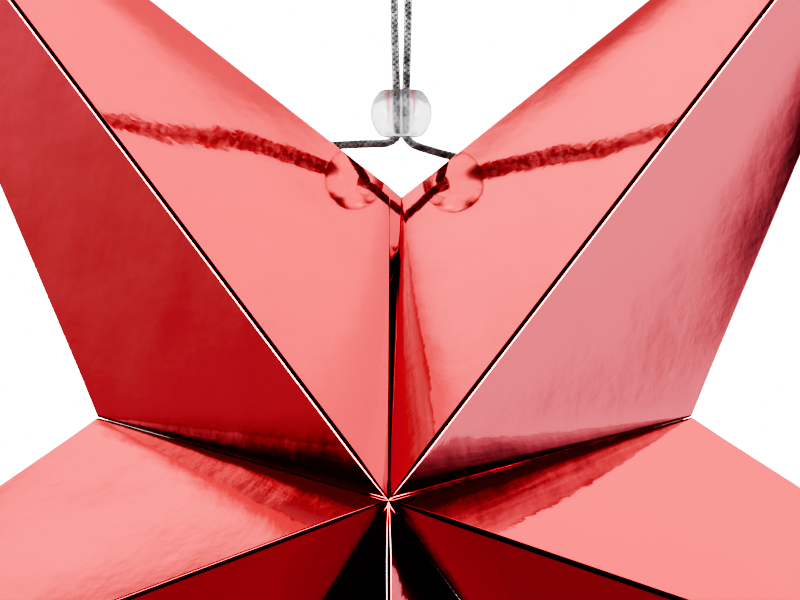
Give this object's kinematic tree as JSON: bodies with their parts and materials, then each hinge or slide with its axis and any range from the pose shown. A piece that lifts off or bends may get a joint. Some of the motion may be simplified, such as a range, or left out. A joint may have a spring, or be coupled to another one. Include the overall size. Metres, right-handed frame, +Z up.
{
  "type": "paper advent star",
  "caption": "Five-pointed hollow star of folded red foil card, pulled together and hung by a braided silver cord with a clear sliding stopper bead.",
  "frame": {"origin": "the point where the loop of the cord bears on its hook, straight above the star", "axes": "+Z up along the hanging cord, -Y towards the front of the star, +X to the right seen from the front"},
  "size_m": [0.2975, 0.102, 0.2989],
  "materials": {
    "foil_card": "polished",
    "silver_cord": "satin",
    "clear_plastic": "satin"
  },
  "bodies": {
    "star": {"arm_upper_left": "foil_card", "arm_lower_left": "foil_card", "arm_bottom": "foil_card", "arm_lower_right": "foil_card", "arm_upper_right": "foil_card", "cord": "silver_cord", "knot_left": "silver_cord", "knot_right": "silver_cord"},
    "stopper": {"stopper_bead": "clear_plastic"}
  },
  "joints": [
    {"name": "bead_slide", "type": "slide", "parent": "star", "child": "stopper", "axis": [0, 0, 1], "range_m": [0, 0.056]}
  ]
}
